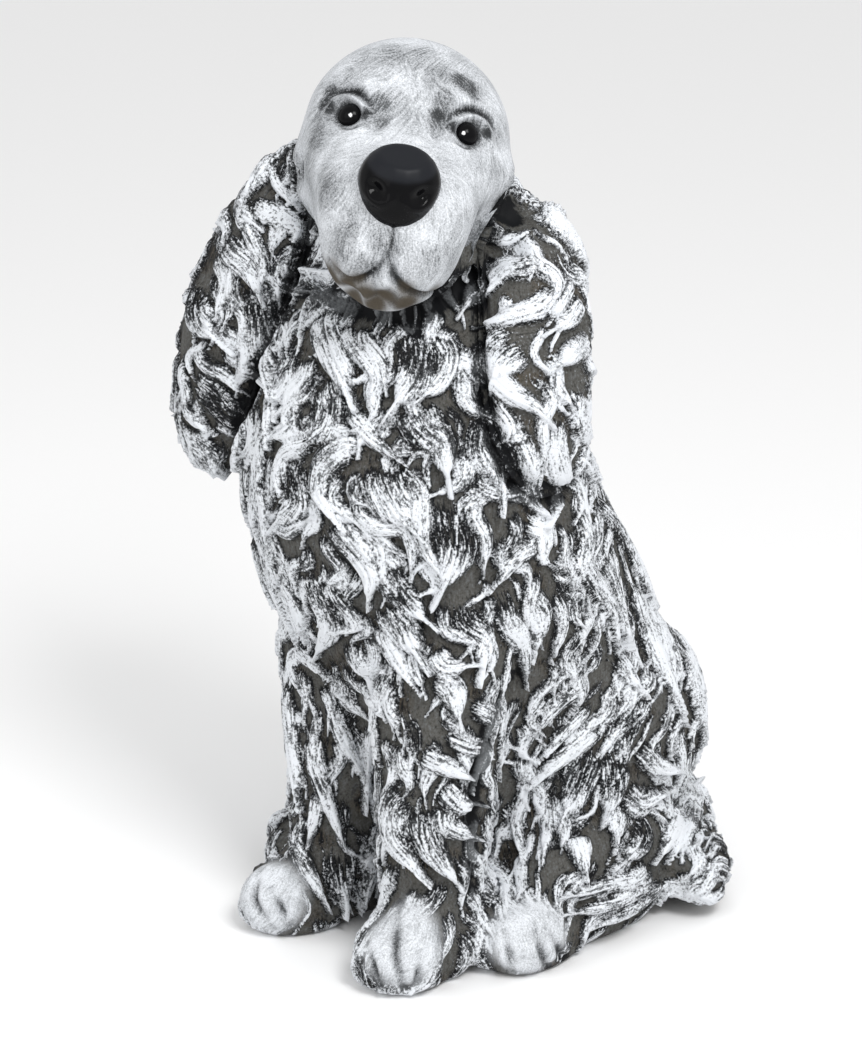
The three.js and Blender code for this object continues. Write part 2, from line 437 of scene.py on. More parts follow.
def comb(seeds, lengths, waves, phases):
    """Walks from each seed over the skin the way the coat lies, waving as it goes."""
    place = onto_skin(seeds)
    paths = [place]
    for i in range(LOCK_STEPS - 1):
        normal = normals_at(place)
        ahead = flat_to(normal, way_down(place))
        aside = np.cross(normal, ahead)
        swing = np.radians(waves) * np.sin(2 * math.pi * i / (LOCK_STEPS - 1) + phases)
        swing += WANDER * drift(place[:, [1, 2, 0]], WANDER_LENGTH)
        ahead = np.cos(swing)[:, None] * ahead + np.sin(swing)[:, None] * aside
        place = onto_skin(place + (lengths / (LOCK_STEPS - 1))[:, None] * ahead, 2)
        paths.append(place)
    return np.stack(paths, 1)


rise = np.zeros(len(where))  # how high the coat stands above its valleys, in millimetres
share = np.zeros(len(where))  # the same as a share of the lock's own height
grain = np.zeros((len(where), 3))  # millimetres along and across the hairs, and a number for the lock
grain[:, 0] = where[:, 2]
grain[:, 1] = SKIN_RADIUS * np.arctan2(where[:, 1], where[:, 0])


def follow(path, reach):
    """For the skin points near a path: their numbers, and how far they lie along and across it."""
    centre = (path.min(0) + path.max(0)) / 2
    near = near_to(centre, np.abs(path - centre).max() + reach)
    legs = path[1:] - path[:-1]
    steps = np.linalg.norm(legs, axis=1)
    offsets = where[near][:, None] - path[None, :-1]
    t = np.clip((offsets * legs).sum(2) / steps**2, 0, 1)
    gaps = offsets - t[:, :, None] * legs
    leg = (gaps**2).sum(2).argmin(1)
    rows = np.arange(len(near))
    gap = gaps[rows, leg]
    side = np.cross(out[near], legs[leg] / steps[leg, None])
    across = (gap * side).sum(1)
    along = (leg + t[rows, leg]) / len(legs)
    inside = (gap**2).sum(1) < reach * reach
    return near[inside], along[inside], across[inside], steps.sum()


def carve_lock(path, half, height, hollow, number):
    """Lays one lock on the skin. The highest lock wins, so each tip lies over the next root."""
    near, along, across, length = follow(path, half + 0.5)
    # Its outline is blunt at the root, fullest a third of the way along and pointed at the tip.
    width = half * np.sin(math.pi * (0.14 + 0.84 * along) ** 0.85) ** 0.65
    ratio = np.clip(across / np.maximum(width, 0.3), -1, 1)
    dome = (1 - np.abs(ratio) ** 2.4) ** 0.6
    trough = hollow * (1 - ratio**2) ** 2 * ramp(1.0, 0.5, along)
    waver = 0.6 * np.sin(9 * along + number)
    strands = np.cos(2 * math.pi * (across + waver) / STRAND_GAP + number)
    part = dome - trough + FINE_RIDGE * strands * (1 - ratio**2)
    part *= ramp(0, 0.25, along) * (0.65 + 0.35 * along)
    wins = height * part > rise[near]
    near, part, along, across = near[wins], part[wins], along[wins], across[wins]
    rise[near] = height * part
    share[near] = part
    grain[near] = np.column_stack([along * length, across, np.full(len(near), 7.3 * number)])


BACK = (-10, 40)  # between these distances behind the middle the torso's locks calm down
ON_MODELLED = 4  # no grown lock starts this near to a modelled one
AMONG_MODELLED = 18  # grown locks this near to a modelled one are smaller


def clear_of(points, others, gap):
    """Whether each point is farther than the gap from all the others."""
    nearest = [((others - point) ** 2).sum(1).min() for point in points]
    return np.array(nearest) > gap * gap


def grow_coat(factors, modelled):
    """Covers the figure with locks of COAT's measures times the factors, smaller among the modelled ones."""
    traits = np.array([COAT[name] for name in CASTINGS]) * factors
    seeds = scatter(traits)
    seeds = seeds[clear_of(seeds, modelled, ON_MODELLED)]
    traits = traits[casting_at(seeds)]
    lengths, halves, heights = (traits[:, 1:4] * random.uniform(0.75, 1.3, (len(seeds), 3))).T
    back = (traits[:, 0] == COAT["torso"][0] * factors[0]) * ramp(*BACK, seeds[:, 1])
    lengths *= 1 + 0.35 * back
    heights *= 1 - 0.45 * back
    halves *= 1 - 0.2 * back
    waves = traits[:, 4] * random.uniform(0.7, 1.3, len(seeds)) * (1 - 0.5 * back)
    among = ~clear_of(seeds, modelled, AMONG_MODELLED)
    lengths[among] *= 0.8
    heights[among] *= 0.75
    halves[among] *= 0.85
    phases = 3.5 * drift(seeds, SWIRL_LENGTH) + seeds[:, 2] / 7.0 + random.normal(0, 0.6, len(seeds))
    hollows = np.maximum(random.uniform(-0.4, 0.55, len(seeds)), 0)
    paths = comb(seeds, lengths, waves, phases)
    for number, path in enumerate(paths):
        carve_lock(path, halves[number], heights[number], hollows[number], number)


# The locks modelled one by one, from root to tip: half the width, then millimetres right of and above the
# view's target for each bend.
RIGHT_EAR_LOCKS = [
    (4.2, (-90, 149), (-75, 143), (-65, 139), (-57, 130), (-54, 112)),
    (4.2, (-69, 174), (-78, 161), (-83, 152)),
    (2.2, (-74, 168), (-71, 157), (-62, 146)),
    (5.5, (-98, 131), (-90, 123), (-83, 117), (-79, 107)),
    (3.2, (-90, 142), (-82, 131), (-77, 119), (-78, 110)),
    (3.0, (-74, 117), (-65, 108), (-57, 107)),
    (8.0, (-78, 107), (-76, 95), (-75, 82), (-73, 67)),
    (2.3, (-84, 88), (-86, 72), (-78, 66), (-69, 57)),
    (8.0, (-104, 112), (-107, 98), (-98, 87)),
    (3.2, (-111, 85), (-104, 74), (-94, 68), (-88, 62)),
    (2.6, (-92, 101), (-86, 95), (-87, 84)),
    (6.2, (-113, 66), (-103, 61), (-94, 53), (-87, 44), (-87, 34)),
    (3.2, (-115, 56), (-109, 49), (-102, 44)),
    (6.0, (-112, 39), (-104, 34), (-97, 27)),
    (2.6, (-101, 46), (-92, 43), (-86, 33)),
]
CHEST_LOCKS = [
    (7.0, (-50, 101), (-48, 88), (-43, 76), (-38, 62)),
    (3.4, (-41, 96), (-39, 86), (-32, 78), (-25, 68), (-27, 59)),
    (3.4, (-31, 93), (-30, 84), (-23, 74), (-21, 64)),
    (8.0, (-8, 93), (-6, 79), (-8, 67), (-15, 56)),
    (3.8, (4, 90), (9, 78), (4, 65), (-3, 59)),
    (6.2, (-51, 69), (-46, 57), (-48, 45), (-54, 38)),
    (3.2, (-48, 40), (-58, 36), (-67, 33), (-70, 24), (-68, 14)),
    (3.6, (-59, 56), (-64, 44), (-71, 40)),
    (3.0, (-47, 47), (-42, 43), (-37, 43)),
    (3.6, (-39, 54), (-33, 47), (-26, 39), (-16, 31)),
    (7.2, (-10, 57), (-4, 46), (4, 38), (7, 24)),
    (8.5, (-25, 28), (-22, 18), (-17, 9), (-10, 1)),
    (3.2, (-33, 19), (-34, 7), (-25, -1), (-13, -2), (-9, -11), (-9, -20)),
    (5.2, (-31, 32), (-38, 36), (-49, 28), (-51, 15), (-44, 4)),
    (5.6, (-49, 3), (-41, -5), (-33, -13), (-28, -22), (-28, -31)),
    (7.0, (-64, 34), (-64, 22), (-62, 10), (-68, 2)),
    (3.2, (-73, 2), (-66, -3), (-57, 2)),
    (4.2, (-18, 27), (-6, 16), (-5, 3), (-3, -10), (3, -20)),
    (9.0, (8, 16), (10, 1), (12, -12), (6, -26)),
    (3.6, (19, 14), (20, 4), (25, -6), (24, -18)),
    (6.2, (-56, -19), (-50, -35), (-46, -46), (-50, -56)),
    (3.2, (-50, -22), (-43, -33), (-34, -45), (-42, -48)),
    (6.0, (-23, -17), (-15, -30), (-3, -42)),
    (7.6, (-21, -35), (-13, -46), (-6, -58)),
    (4.6, (-24, -45), (-18, -57), (-8, -72)),
    (6.0, (14, -31), (15, -44), (24, -52), (23, -64)),
    (3.2, (6, -33), (7, -47), (19, -54)),
    (4.2, (32, -30), (35, -44), (42, -54), (43, -69)),
    (5.0, (42, -30), (50, -41), (47, -55)),
    (5.0, (1, -56), (6, -64), (16, -64)),
    (5.0, (-1, -69), (8, -74), (12, -86)),
    (5.0, (-38, -53), (-32, -64), (-25, -66)),
    (3.6, (-82, 30), (-77, 12), (-74, -7)),
    (3.2, (-86, 8), (-81, -12), (-70, -33), (-61, -53)),
    (4.2, (-71, -22), (-63, -34), (-58, -48)),
    (3.6, (49, -20), (45, -36), (49, -52)),
    (3.2, (57, -30), (60, -45), (56, -58)),
    (3.6, (34, -38), (42, -52), (43, -70)),
    (4.0, (52, -8), (40, -14), (30, -26)),
]
LEFT_EAR_LOCKS = [
    (5.2, (52, 157), (57, 141), (64, 131), (69, 119)),
    (2.4, (48, 137), (39, 133), (29, 130)),
    (4.6, (57, 125), (43, 119), (32, 118), (22, 108), (16, 100)),
    (4.2, (61, 111), (50, 100), (38, 96), (25, 92)),
    (4.6, (50, 89), (32, 86), (24, 74), (34, 62), (45, 56), (52, 49)),
    (6.0, (44, 83), (34, 76), (30, 68)),
    (4.0, (15, 70), (17, 57), (26, 50)),
    (8.0, (31, 46), (27, 37), (32, 27), (32, 17)),
    (4.2, (39, 42), (45, 28), (46, 15)),
    (3.2, (16, 22), (28, 15), (44, 13), (52, 5)),
    (3.2, (51, 39), (48, 22), (53, 5)),
    (3.2, (52, 68), (55, 57), (51, 46), (52, 28)),
    (5.0, (75, 84), (66, 80), (59, 74)),
    (3.2, (58, 73), (58, 64), (63, 55)),
    (5.0, (60, 51), (57, 37), (61, 17), (56, 6)),
    (4.2, (69, 66), (67, 52), (71, 40), (65, 24)),
    (4.2, (71, 105), (64, 95), (57, 90)),
    (3.2, (66, 115), (60, 103), (56, 96)),
]
BACK_LOCKS = [
    (5.2, (64, 20), (71, -5), (70, -18), (81, -36), (84, -53)),
    (4.4, (71, 17), (84, 1), (94, -18), (100, -34)),
    (6.0, (75, -12), (83, -31), (88, -50)),
    (5.0, (93, -22), (95, -38), (104, -60), (112, -79)),
    (4.2, (84, -58), (94, -74)),
    (3.2, (102, -54), (109, -71), (115, -88)),
    (4.2, (113, -53), (120, -71), (124, -97), (122, -117)),
]
HAUNCH_LOCKS = [
    (3.6, (75, -70), (58, -82), (48, -93)),
    (3.6, (77, -80), (62, -93), (51, -105)),
    (4.2, (80, -90), (65, -102), (48, -116)),
    (7.0, (74, -100), (67, -117), (62, -132)),
    (6.0, (82, -100), (84, -117), (80, -131)),
    (5.0, (88, -120), (95, -127), (105, -122)),
    (3.2, (45, -118), (39, -134), (41, -149)),
    (4.0, (51, -118), (54, -134), (52, -149)),
    (2.8, (57, -126), (61, -138), (60, -146)),
    (5.0, (66, -140), (68, -148), (70, -158)),
    (5.0, (86, -128), (84, -143)),
    (6.0, (93, -132), (97, -143), (88, -152)),
    (5.0, (110, -124), (112, -137), (104, -150)),
    (4.2, (120, -120), (118, -137), (110, -150)),
    (4.2, (101, -152), (94, -161), (80, -164), (64, -169)),
    (4.2, (104, -158), (97, -165), (84, -172), (66, -177)),
    (4.0, (108, -162), (101, -168), (90, -176), (75, -182)),
    (4.2, (94, -100), (103, -110), (112, -112)),
]
LEG_LOCKS = [
    (4.0, (-10, -55), (-7, -65), (-4, -73)),
    (5.0, (2, -71), (10, -76), (12, -88)),
    (2.8, (4, -87), (11, -92), (17, -96)),
    (4.2, (18, -82), (28, -88), (26, -98)),
    (4.2, (3, -93), (16, -100), (26, -104), (22, -117)),
    (4.2, (-7, -104), (4, -109), (17, -115)),
    (7.0, (-9, -117), (-18, -129), (-17, -143), (-7, -156)),
    (6.0, (-5, -125), (-2, -143), (10, -161)),
    (4.6, (3, -117), (13, -127), (20, -128)),
    (4.8, (7, -127), (8, -137), (19, -142)),
    (3.0, (-23, -62), (-27, -94), (-30, -128)),
    (3.0, (-23, -147), (-27, -160), (-31, -174)),
    (5.0, (-67, -66), (-64, -94), (-60, -123)),
    (3.6, (-47, -79), (-40, -96), (-32, -112)),
    (4.2, (-55, -94), (-52, -112), (-41, -143)),
    (3.2, (-51, -120), (-55, -143)),
    (2.8, (-33, -100), (-28, -123)),
    (6.0, (-42, -147), (-40, -171)),
    (4.2, (-64, -133), (-60, -150), (-49, -171)),
    (4.2, (-64, -54), (-57, -60), (-50, -66)),
    (4.2, (-33, -69), (-29, -76), (-25, -83)),
]
PATH_POINTS = 20
MODELLED_SPREAD = 1.5  # a modelled lock's foot is this much wider than its crest
HIGHEST_LOCK = 7.5
HOLLOWED = 5.5  # modelled locks of at least this half width have a trough along them


def modelled_height(half):
    return min(3.8 + 0.5 * half, HIGHEST_LOCK)


modelled_locks = RIGHT_EAR_LOCKS + CHEST_LOCKS + LEFT_EAR_LOCKS + BACK_LOCKS + HAUNCH_LOCKS + LEG_LOCKS
modelled_paths = [in_view(smooth_line(bends, PATH_POINTS)) for _, *bends in modelled_locks]
grow_coat(np.ones(5), np.concatenate(modelled_paths))
grow_coat(STRAND, np.concatenate(modelled_paths))
for number, (half, *_) in enumerate(modelled_locks):
    hollow = 0.4 * (half > HOLLOWED) * random.uniform(0.3, 1.3)
    carve_lock(modelled_paths[number], MODELLED_SPREAD * half, modelled_height(half), hollow, number)

# ---- The face -----------------------------------------------------------------------------------------

# In the face's frame, the coat fades in from the first distance to the second: behind the cheeks, and below
# the crown. The rest of the head is smooth.
COAT_BEHIND = (-32, -58)
COAT_BELOW = (28, -10)

face_left, face_ahead, face_up = ((where - eyes_middle) @ FACE.T).T
is_head = casting_of == CASTINGS.index("head")
furry = np.where(is_head, ramp(*COAT_BEHIND, face_ahead) * ramp(*COAT_BELOW, face_up), 1.0)
sculpt = np.zeros(len(where))
wash_and_shade = np.zeros(len(where))  # how thickly the dark wash is left on the smooth skin, with painted shade in the ear seams, round the eyeballs and under the chin and jaw
jaw_shade = np.zeros(len(where))  # how strongly the brown painted shade under the jaw and lips shows


def swell(spots, radius, height):
    """Raises, or sinks, a soft round patch about each spot."""
    for spot in spots:
        near = near_to(spot, radius)
        gap = np.linalg.norm(where[near] - spot, axis=1)
        sculpt[near] += height * ramp(radius, 0, gap)


def smudge(spots, radius, depth=1.0, layer=wash_and_shade):
    """Leaves the dark layer of wash and painted shade, or the brown painted shade under the jaw, in a soft
    round patch about each spot.
    """
    for spot in spots:
        near = near_to(spot, radius)
        gap = np.linalg.norm(where[near] - spot, axis=1)
        layer[near] = np.maximum(layer[near], depth * ramp(radius, 0.2 * radius, gap))


def ridge(line, half, height, dark=0.0):
    """Raises, or sinks, a ridge along a line of skin points.

    A dark above 0 leaves that much of the dark layer of wash and painted shade on it, and a dark below 0
    wipes that share of it off.
    """
    near, along, across, _ = follow(line, 2.5 * half)
    part = np.exp(-0.5 * (across / (0.6 * half)) ** 2) * np.sin(math.pi * (0.1 + 0.8 * along))
    sculpt[near] += height * part
    if dark > 0:
        wash_and_shade[near] = np.maximum(wash_and_shade[near], dark * part)
    else:
        wash_and_shade[near] *= 1 + dark * part


def face_line(knots, count):
    return on_face(smooth_line(knots, count))


# Everything on the face is placed in millimetres to the left of and above its origin. The strokes that shape
# it give a radius, or half a width, and a height, and those that darken it a depth between 0 and 1.
EYE_SPOT = (25.5, 1.5)  # the left eye; the right one mirrors it
# Offsets from the eye, outwards and up.
LID = [(-9.5, -1.0), (-5.5, 4.0), (0, 6.0), (5.5, 4.0), (9.5, -2.0)]
CREASE = [(-12, 0.5), (-7.5, 7), (0, 9.8), (8, 7), (13, -1)]
UNDER_EYE = [(-7.5, -4), (0, -7), (7.5, -5)]
RIM = [(-10, -1.5), (-5.5, -2.5), (0, -5.5), (5.5, -3.5), (10.5, -3)]
TEAR_DUCT = [(-11, -3)]
EYE_CORNERS = [(-7.5, 1.5), (8, 0.5)]
SOCKET_ENDS = [(-12, 0), (13, -1)]
BROW = [(-8.5, 15.5)]


def carve_eye(side):
    """One eye's socket, lids, crease and brow; side is 1 for the dog's left."""

    def by_eye(offsets):
        return [(side * (EYE_SPOT[0] + outwards), EYE_SPOT[1] + up) for outwards, up in offsets]

    eye = on_face(by_eye([(0, 0)]))
    swell(eye, 14, -2.6)
    swell(eye, 8, -1.7)
    swell(on_face(by_eye(TEAR_DUCT)), 9, -1.6)
    ridge(face_line(by_eye(CREASE), 18), 2.4, -1.8, 1.0)
    ridge(face_line(by_eye(UNDER_EYE), 18), 1.3, 1.0)
    ridge(face_line(by_eye(RIM), 18), 1.7, -0.3, 0.6)
    smudge(on_face(by_eye(SOCKET_ENDS)), 9, 0.4)
    ridge(face_line(by_eye(LID), 18), 1.6, 3.6, -1.0)
    smudge(on_face(by_eye(EYE_CORNERS)), 5, 0.85)
    swell(on_face(by_eye(BROW)), 15, 2.2)


FLEWS = [(-17, -52), (18, -52)]
STOP = [(0, 2)]
LEFT_CHEEK = [(44, -38), (41, -52)]
UNDER_JAW = [(0, -72), (-16, -72), (18, -73), (31, -69), (-27, -69)]
PHILTRUM = [(0, -37), (1, -45), (0, -54)]
RIGHT_LIP = [(0, -52), (-7, -59), (-17, -64), (-27, -60)]
LEFT_LIP = [(0, -52), (6, -60), (15, -65), (25, -66), (35, -60)]
LOWER_LIP = [(-0.5, -61)]
LOWER_LIP_EDGE = [(-30, -63), (-20, -69), (0, -71), (20, -72), (34, -64)]


def carve_muzzle():
    """The flews, the mouth under them, and the jaw that shows as a strip below."""
    swell(on_face(FLEWS), 19, 3.8)
    swell(on_face(STOP), 14, -1.6)
    swell(on_face(LEFT_CHEEK), 18, -5.0)
    swell(on_face(UNDER_JAW), 12, -4.5)
    ridge(face_line(PHILTRUM, 10), 1.6, -1.8, 0.8)
    ridge(face_line(RIGHT_LIP, 16), 2.6, -3.6, 1.0)
    ridge(face_line(LEFT_LIP, 18), 2.6, -3.6, 1.0)
    swell(on_face(LOWER_LIP), 7, 3.4)
    # Painted shade on the strip of jaw under the flews.
    ridge(face_line(LOWER_LIP_EDGE, 24), 6, -0.5, 0.75)


# The wash left on the face: the spots, the radius of each and its depth.
FACE_SMUDGES = [
    ([(19, 21), (23, 19)], 9, 0.7),
    ([(-37, 4), (-35, 9), (12, 7)], 7, 0.8),
    ([(14, 12), (13, 4), (-14, 8)], 10, 0.5),
    ([(-21, 21), (-11, 27), (1, 28), (-28, 15), (10, 24)], 15, 0.3),
    ([(-38, -12), (-41, -24), (-33, -30), (-22, -47), (-10, -58), (-4, -44)], 15, 0.4),
    ([(-4, 10), (8, 18), (40, -12), (42, -30), (32, -42), (22, -50)], 14, 0.2),
]
CHIN = [(-27, -65), (-18, -68), (-9, -70), (2, -71), (13, -71), (24, -70), (-14, -74), (-3, -75), (8, -76)]
UNDER_LIPS = [(-26, -60), (-14, -64), (12, -64), (26, -64)]

# Painted shade: the ring between each eyeball and its lid is darkened.
for name in ("left_eye", "right_eye"):
    np.maximum(wash_and_shade, 0.85 * ramp(3.6, 1.0, read(fields[name], where)), out=wash_and_shade)
for side in (-1, 1):
    carve_eye(side)
carve_muzzle()
for spots, radius, depth in FACE_SMUDGES:
    smudge(on_face(spots), radius, depth)
# Painted shadow under the jaw and the flews, both dark and brown.
smudge(on_face(CHIN), 9, 0.85)
smudge(on_face(CHIN), 13, 1.0, jaw_shade)
smudge(on_face(UNDER_LIPS), 8, 0.8, jaw_shade)

# ---- Paws, hip, throat and ears -----------------------------------------------------------------------

# These are placed in millimetres right of and above the main view's target.
TOE_GROOVES = [
    [(-15, -177), (-16, -196), (-13, -210)],
    [(-5, -200), (-6, -210)],
    [(-29, -194), (-25, -208)],
    [(34, -190), (37, -202)],
    [(49, -190), (54, -205)],
    [(57, -190), (62, -200)],
    [(-79, -160), (-81, -171), (-75, -181)],
    [(-71, -170), (-66, -180)],
]
HIP_BUMP = [(100, -84)]
HAUNCH_FRONT = [(36, -76), (26, -100), (21, -130), (21, -160)]
THROAT = [(-58, 108), (-40, 101), (-14, 97), (8, 103), (20, 112)]
HOLLOWS = [(39, 146), (-61, 163)]  # the dark hollows at the ears' roots
HOLLOW_REACH = 13
FOLD_BELOW_HOLLOW = [(40, 127)]
PAWS = [(-13, -192), (46, -190), (-76, -170)]
PAW_REACH = 24
EAR_SEAM = (3.2, 0.4)  # the valley round each ear fades in between these distances from the joint
CROWN = (25, -10)  # and between these heights on the head
SUNK = {"nose": 7.0, "left_eye": 3.0, "right_eye": 3.0}  # how far the skin is sunk under the glazed parts
LEFT_EAR_PAINTED_LIGHT = 0.1  # painted light: the left ear is painted lighter than the rest where the light falls on it, and the paws are brushed whiter, so they lose this wash
PAWS_WIPED = 0.2


def sink_hollows():
    """Presses the dark hollows into the coat at the ears' roots."""
    spots = in_view(HOLLOWS)
    for spot in spots:
        near = near_to(spot, HOLLOW_REACH)
        gap = np.linalg.norm((where[near] - spot) * [1, 1, 0.75], axis=1)
        kept = ramp(4, HOLLOW_REACH, gap)
        rise[near] *= kept
        share[near] *= kept
    swell(spots, HOLLOW_REACH, -6)
    smudge(spots, 9, 1.0)
    swell(in_view(FOLD_BELOW_HOLLOW), 8, -4)


def part_ear(name):
    """Runs a valley round an ear, darkened with painted shade, so that it stands clear of what it lies
    against.
    """
    seam = ramp(*EAR_SEAM, np.abs(read(cell(CASTINGS.index(name)), where) + SEAM_LAP))
    seam *= ramp(*CROWN, face_up)
    sculpt[:] -= 3.4 * seam * furry
    # Painted shade in the valley between the ear and what it lies against.
    np.maximum(wash_and_shade, 0.3 * seam, out=wash_and_shade)
    rise[:] *= 1 - 0.5 * seam
    share[:] *= 1 - 0.4 * seam


def smooth_paw(spot):
    """Fades the locks out towards the toes, and brushes the top of the paw whiter."""
    near = near_to(spot, PAW_REACH)
    gap = np.linalg.norm(where[near] - spot, axis=1)
    rise[near] *= ramp(14, PAW_REACH, gap)
    furry[near] *= ramp(14, PAW_REACH, gap)
    wash_and_shade[near] -= PAWS_WIPED * ramp(PAW_REACH, 10, gap)


for line in TOE_GROOVES:
    ridge(in_view(smooth_line(line, 10)), 2.4, -2.6, 0.9)
swell(in_view(HIP_BUMP), 19, 4.5)
ridge(in_view(smooth_line(HAUNCH_FRONT, 24)), 5, -4.5, 0.9)
# Painted shadow: the groove under the chin is darkened as shade.
ridge(in_view(smooth_line(THROAT, 30)), 5, -3.0, 1.0)
sink_hollows()
for name in GLAZED:
    sculpt -= ramp(1.5, -2.0, read(fields[name], where)) * SUNK[name]
for name in ("left_ear", "right_ear"):
    part_ear(name)
# Painted light: the left ear's wash is thinned so that it shows lighter.
wash_and_shade[casting_of == CASTINGS.index("left_ear")] -= LEFT_EAR_PAINTED_LIGHT
for spot in in_view(PAWS):
    smooth_paw(spot)

# ---- The carved skin ----------------------------------------------------------------------------------

PINCH = 0.21  # the muzzle's sides are drawn in by this share
PINCH_BELOW = (-6, -50)  # fading in between these heights on the face
PINCH_AHEAD = (-24, 12)  # and these distances ahead of the eyes

relief = ((rise - INSET) * furry + sculpt) * exposed
final = where + out * relief[:, None]
pinch = PINCH * is_head * ramp(*PINCH_BELOW, face_up) * ramp(*PINCH_AHEAD, face_ahead)
final -= np.outer(pinch * face_left, FACE_LEFT)
final[:, 2] = np.maximum(final[:, 2], GROUND)


def new_piece(name, points, quads):
    """A mesh object from points in millimetres and four-cornered faces."""
    mesh = bpy.data.meshes.new(name)
    mesh.vertices.add(len(points))
    mesh.vertices.foreach_set("co", (points * MM).astype(np.float32).ravel())
    mesh.loops.add(len(quads) * 4)
    mesh.loops.foreach_set("vertex_index", quads.astype(np.int32).ravel())
    mesh.polygons.add(len(quads))
    mesh.polygons.foreach_set("loop_start", np.arange(0, len(quads) * 4, 4, dtype=np.int32))
    mesh.update(calc_edges=True)
    piece = bpy.data.objects.new(name, mesh)
    bpy.context.scene.collection.objects.link(piece)
    return piece


def keep(mesh, name, values):
    """Stores a value, or a vector, for each point of a mesh."""
    kind, key = ("FLOAT", "value") if values.ndim == 1 else ("FLOAT_VECTOR", "vector")
    layer = mesh.attributes.new(name, kind, "POINT")
    layer.data.foreach_set(key, np.ascontiguousarray(values, np.float32).ravel())


# ---- Paint and glaze ----------------------------------------------------------------------------------

VALLEY = (0.082, 0.080, 0.073, 1)  # grey slip
WASH = (0.006, 0.0065, 0.0075, 1)
CHALK = (0.73, 0.755, 0.79, 1)
WORN = (0.15, 0.158, 0.165, 1)  # wash that is partly rubbed off
BROWN_TINT_AND_SHADE = (0.080, 0.066, 0.048, 1)  # brown: a random tint of the grey slip, and painted shade under the jaw and lips
GLAZE = (0.0035, 0.0035, 0.004, 1)
# painted sheen: the lighter black of the nose's top
NOSE_TOP_SHEEN = (0.013, 0.014, 0.017, 1)
# painted highlight: the white dot on each eye
DOT = (0.9, 0.9, 0.9, 1)
SATIN_SHEEN_TONE = 0.35  # the tone of the nose's top, worn to a low gloss and painted lighter as a sheen; a painted highlight dot's is 1


def node_maker(material):
    """A function that adds a shader node, setting or linking its inputs."""
    tree = material.node_tree

    def make(kind, inputs=None, **settings):
        made = tree.nodes.new("ShaderNode" + kind)
        for key, value in settings.items():
            setattr(made, key, value)
        for key, value in (inputs or {}).items():
            if isinstance(value, bpy.types.NodeSocket):
                tree.links.new(value, made.inputs[key])
            else:
                made.inputs[key].default_value = value
        return made.outputs

    return make


def washed_ceramic():
    """Grey slip in the valleys, black wash on the slopes, painted shade in the ear seams and under the jaw,
    and dry-brushed white on what stands proud.

    Each layer is a weighted sum of what the skin stores and of noise, cut off between two of its values.
    """
    material = bpy.data.materials.new("washed_ceramic")
    material.use_nodes = True
    make = node_maker(material)

    def stored(name, output="Fac"):
        return make("Attribute", attribute_name=name)[output]

    def sums(*terms):
        """The sum of socket times weight, for each pair."""
        total = 0.0
        for socket, weight in terms:
            total = make("Math", {0: socket, 1: weight, 2: total}, operation="MULTIPLY_ADD")[0]
        return total

    def between(value, low, high):
        return make("MapRange", {"Value": value, "From Min": low, "From Max": high})["Result"]

    def mixed(factor, first, second):
        inputs = {"Factor": factor, 6: first, 7: second}
        return make("Mix", inputs, data_type="RGBA")[2]

    place = make("TexCoord")["Object"]
    along_hairs = {0: stored("grain", "Vector"), 1: (0.13, 0.85, 1.0)}
    hairs = make("VectorMath", along_hairs, operation="MULTIPLY")[0]
    streaks = make("TexNoise", {"Vector": hairs, "Scale": 1.0, "Detail": 3.0, "Roughness": 0.65})[0]
    specks = make("TexNoise", {"Vector": place, "Scale": 850.0, "Detail": 3.0, "Roughness": 0.7})[0]
    grit = make("TexNoise", {"Vector": place, "Scale": 1300.0, "Detail": 3.0, "Roughness": 0.75})[0]
    clouds = make("TexNoise", {"Vector": place, "Scale": 60.0, "Detail": 2.0})[0]
    share, wash_and_shade, smooth = stored("share"), stored("wash_and_shade"), stored("smooth_skin")

    # The coat, from its valleys up.
    on_locks = sums((share, 1.0), (wash_and_shade, -1.0), (streaks, 2.0), (specks, 1.7), (clouds, 1.1))
    chalky = between(on_locks, 2.88, 3.28)
    worn = between(sums((share, 1.0), (clouds, 1.0), (specks, 0.8)), 1.3, 1.9)
    dark = between(sums((share, 1.0), (wash_and_shade, 1.0), (streaks, 1.2), (clouds, 1.2)), 1.25, 1.45)
    slip = mixed(between(clouds, 0.5, 0.7), VALLEY, BROWN_TINT_AND_SHADE)
    slip = mixed(between(sums((streaks, 1.0), (specks, 1.0)), 0.65, 0.95), WASH, slip)
    slip = mixed(between(sums((streaks, 1.0), (specks, 1.2)), 1.1, 1.5), slip, WORN)
    coat = mixed(chalky, mixed(dark, slip, mixed(worn, WASH, WORN)), CHALK)

    # The smooth skin of the face and paws.
    on_skin = sums((wash_and_shade, -1.5), (streaks, 2.6), (grit, 3.2), (clouds, 1.8))
    skin = mixed(between(on_skin, 2.7, 4.5), mixed(wash_and_shade, WORN, WASH), CHALK)
    # Painted shade: the brown under the jaw and lips.
    brown = between(sums((stored("jaw_shade"), 1.0), (streaks, 0.6), (grit, 0.6)), 0.7, 1.7)
    skin = mixed(brown, skin, BROWN_TINT_AND_SHADE)
    colour = mixed(smooth, coat, skin)

    shader = material.node_tree.nodes["Principled BSDF"]
    bump = make("Bump", {"Height": specks, "Strength": 0.25, "Distance": 0.0006})
    material.node_tree.links.new(colour, shader.inputs["Base Color"])
    material.node_tree.links.new(bump[0], shader.inputs["Normal"])
    shader.inputs["Roughness"].default_value = 0.65
    shader.inputs["Specular IOR Level"].default_value = 0.12
    return material


